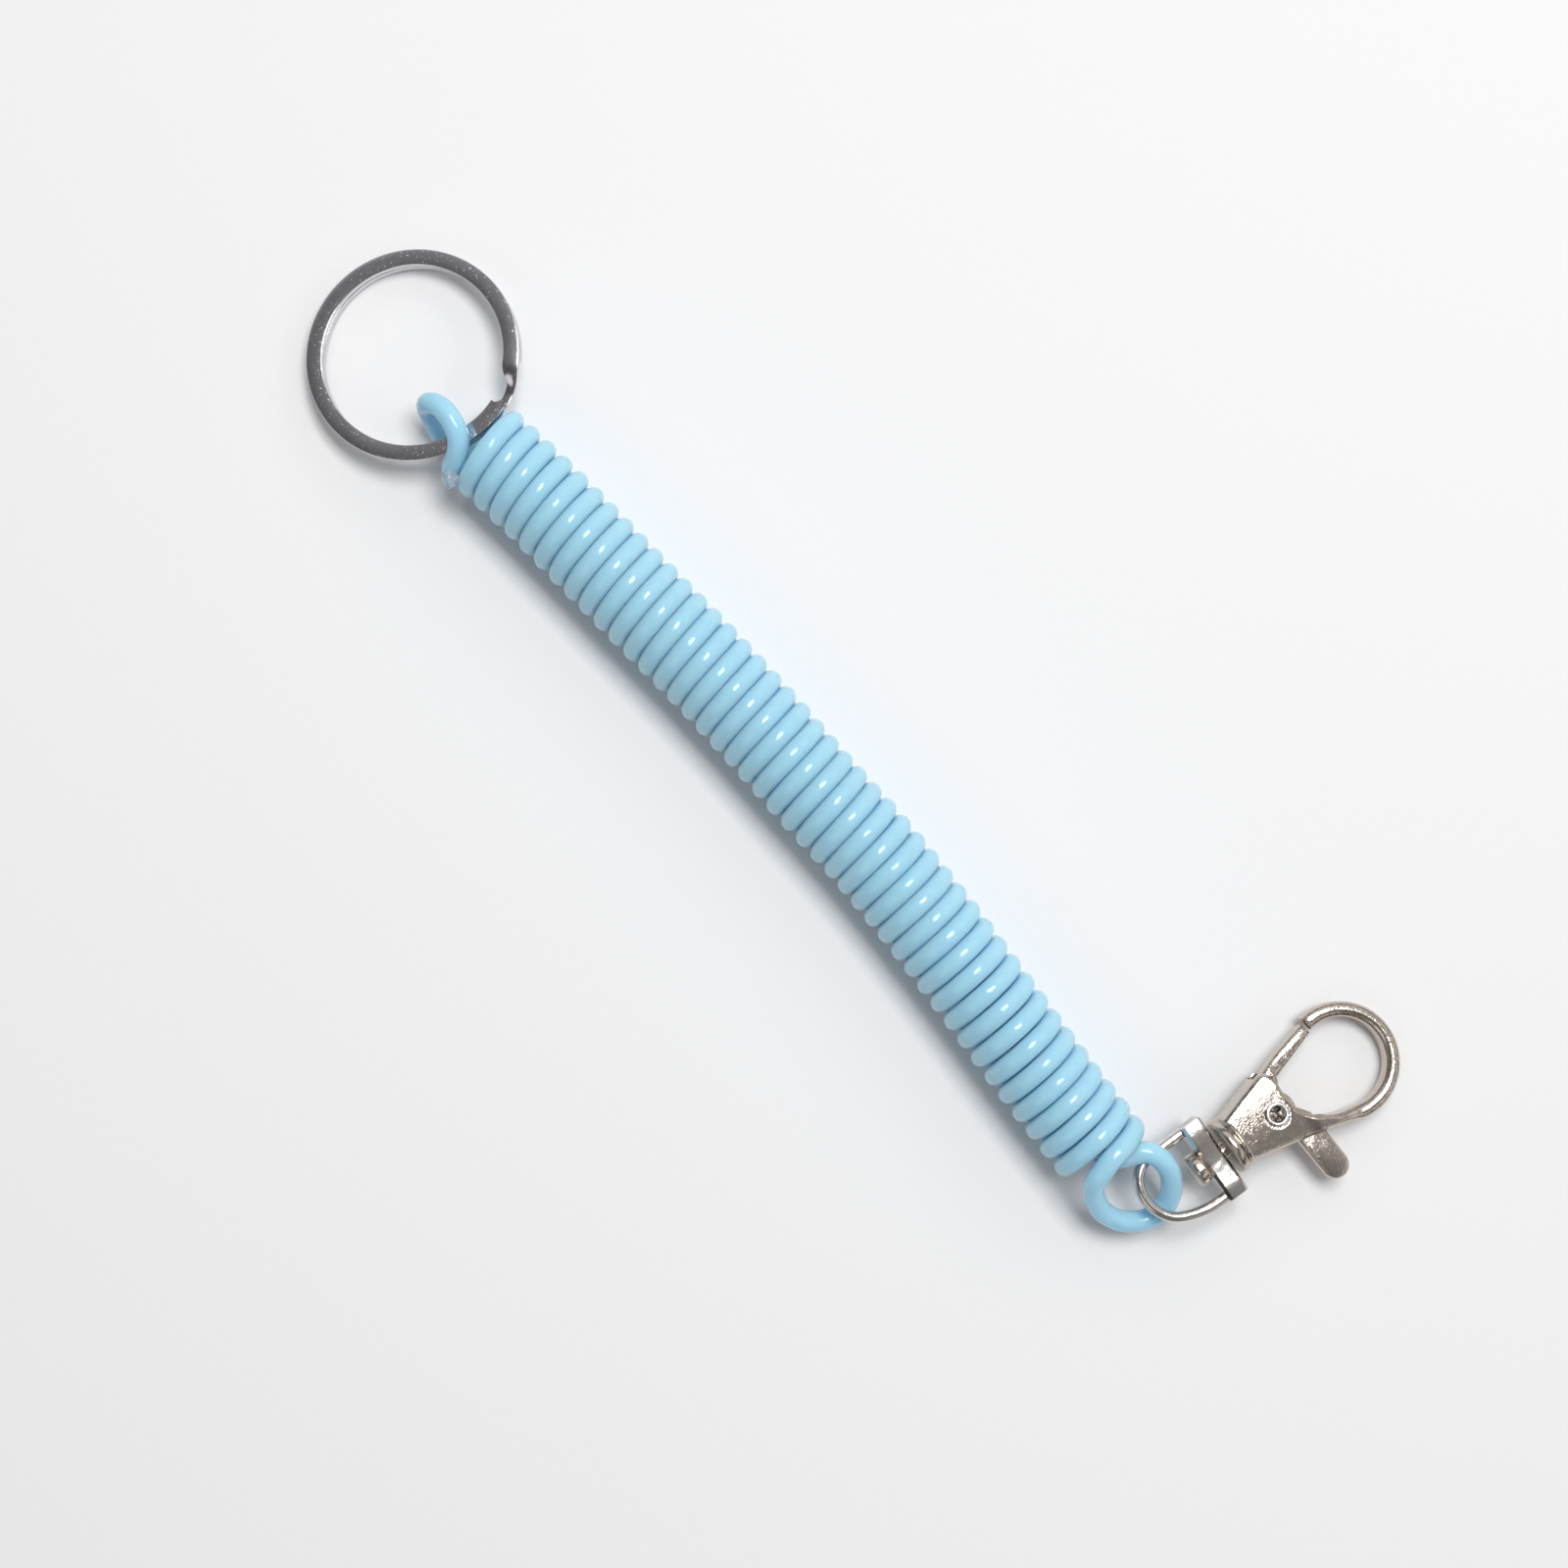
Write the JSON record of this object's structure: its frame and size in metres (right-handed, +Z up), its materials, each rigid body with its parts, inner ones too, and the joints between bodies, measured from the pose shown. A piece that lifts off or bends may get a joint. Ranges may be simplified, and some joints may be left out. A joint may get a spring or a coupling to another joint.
{
  "type": "coil keychain",
  "caption": "Stretching coiled plastic key cord with a split ring tied into one end and a small swivel snap hook with a thumb lever at the other.",
  "frame": {"origin": "the flat on the underside of the coil's middle turn, where the keychain rests on a surface", "axes": "+X along the coil from the split ring towards the snap hook, +Z up away from the surface it lies on, +Y towards the side on which the snap hook lies"},
  "size_m": [0.1899, 0.0526, 0.0136],
  "materials": {
    "cord": "glossy light blue moulded plastic",
    "adhesive": "clear cured adhesive",
    "ring_steel": "nickel-plated steel, dark and smooth",
    "hook_nickel": "nickel-plated die casting with a fine orange-peel surface",
    "rivet_steel": "plated steel, smooth",
    "spring_steel": "bright spring wire"
  },
  "bodies": {
    "cord": {"ring_end_loop": "cord", "ring_end_glue_bead": "adhesive", "coil": "cord"},
    "ring": {"split_ring": "ring_steel"},
    "clasp_end": {"clasp_end_loop": "cord", "clasp_end_glue_bead": "adhesive"},
    "bail": {"swivel_bail": "hook_nickel"},
    "hook": {"hook_body": "hook_nickel", "gate_rivet": "rivet_steel", "gate_spring": "spring_steel"},
    "gate": {"gate_lever": "hook_nickel"}
  },
  "joints": [
    {"name": "coil_stretch", "type": "slide", "parent": "cord", "child": "clasp_end", "axis": [1, 0, 0], "range_m": [0, 0.4], "stiffness_N_per_m": 8, "deforming": ["coil"]},
    {"name": "ring_swing", "type": "hinge", "parent": "cord", "child": "ring", "pos_m": [-0.06898, -0.00434, 0.00617], "axis": [0.2762, 0.9598, 0.0508], "range_deg": [-75, 100]},
    {"name": "bail_swing", "type": "hinge", "parent": "clasp_end", "child": "bail", "pos_m": [0.0759, -0.00503, 0.00795], "axis": [0.019, 0.1466, 0.989], "range_deg": [-14, 6]},
    {"name": "hook_swivel", "type": "hinge", "parent": "bail", "child": "hook", "pos_m": [0.0787, 0.0165, 0.00471], "axis": [0.1274, 0.9808, -0.1478], "continuous": true},
    {"name": "gate_hinge", "type": "hinge", "parent": "hook", "child": "gate", "pos_m": [0.0787, 0.0165, 0.00471], "axis": [-0.019, -0.1466, -0.989], "range_deg": [0, 28], "stiffness_Nm_per_rad": 0.06, "springref_deg": -22.92, "deforming": ["gate_spring"]}
  ]
}
